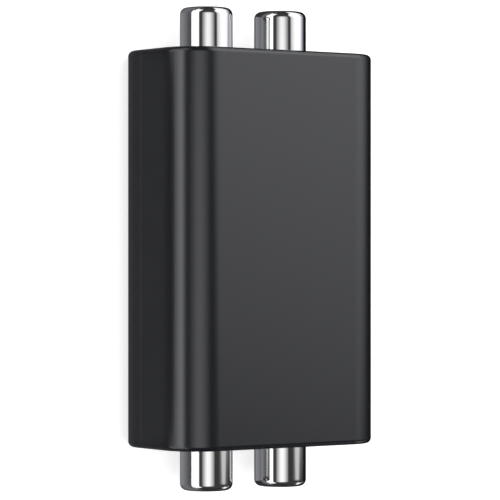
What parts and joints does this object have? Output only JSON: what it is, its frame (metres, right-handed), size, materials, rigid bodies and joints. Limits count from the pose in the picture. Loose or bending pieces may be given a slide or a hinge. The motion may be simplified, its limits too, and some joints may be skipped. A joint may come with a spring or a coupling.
{
  "type": "ground loop isolator",
  "caption": "Flat rounded plastic box with plated phono sockets at both ends, holding audio transformers that stop hum between linked equipment.",
  "frame": {"origin": "middle of the case's flat back face, on which the part lies", "axes": "+Z out of the front face, +Y along the case from the output sockets to the input sockets, +X across the case towards the right channel"},
  "size_m": [0.0388, 0.0756, 0.0204],
  "materials": {
    "case_plastic": "satin",
    "screw_steel": "satin",
    "board_laminate": "satin",
    "bright_plating": "polished",
    "white_moulding": "satin",
    "red_moulding": "satin",
    "plated_contact": "gloss",
    "lamination_steel": "satin",
    "bobbin_nylon": "matte",
    "enamelled_copper": "gloss",
    "yellow_tape": "satin",
    "tinned_steel": "gloss"
  },
  "bodies": {
    "root": {"front_shell": "case_plastic", "rear_shell": "case_plastic", "case_screw_1": "screw_steel", "case_screw_2": "screw_steel", "case_screw_3": "screw_steel", "case_screw_4": "screw_steel", "circuit_board": "board_laminate", "input_left_barrel": "bright_plating", "input_left_body": "white_moulding", "input_left_centre_contact": "plated_contact", "input_left_ground_contact": "plated_contact", "input_right_barrel": "bright_plating", "input_right_body": "red_moulding", "input_right_centre_contact": "plated_contact", "input_right_ground_contact": "plated_contact", "output_left_barrel": "bright_plating", "output_left_body": "white_moulding", "output_left_centre_contact": "plated_contact", "output_left_ground_contact": "plated_contact", "output_right_barrel": "bright_plating", "output_right_body": "red_moulding", "output_right_centre_contact": "plated_contact", "output_right_ground_contact": "plated_contact", "left_transformer_core_e": "lamination_steel", "left_transformer_core_i": "lamination_steel", "left_transformer_bobbin": "bobbin_nylon", "left_transformer_primary_winding": "enamelled_copper", "left_transformer_secondary_winding": "enamelled_copper", "left_transformer_primary_tape": "yellow_tape", "left_transformer_secondary_tape": "yellow_tape", "left_transformer_frame": "tinned_steel", "left_transformer_pin_1": "tinned_steel", "left_transformer_pin_2": "tinned_steel", "left_transformer_pin_3": "tinned_steel", "left_transformer_pin_4": "tinned_steel", "right_transformer_core_e": "lamination_steel", "right_transformer_core_i": "lamination_steel", "right_transformer_bobbin": "bobbin_nylon", "right_transformer_primary_winding": "enamelled_copper", "right_transformer_secondary_winding": "enamelled_copper", "right_transformer_primary_tape": "yellow_tape", "right_transformer_secondary_tape": "yellow_tape", "right_transformer_frame": "tinned_steel", "right_transformer_pin_1": "tinned_steel", "right_transformer_pin_2": "tinned_steel", "right_transformer_pin_3": "tinned_steel", "right_transformer_pin_4": "tinned_steel"}
  },
  "joints": []
}
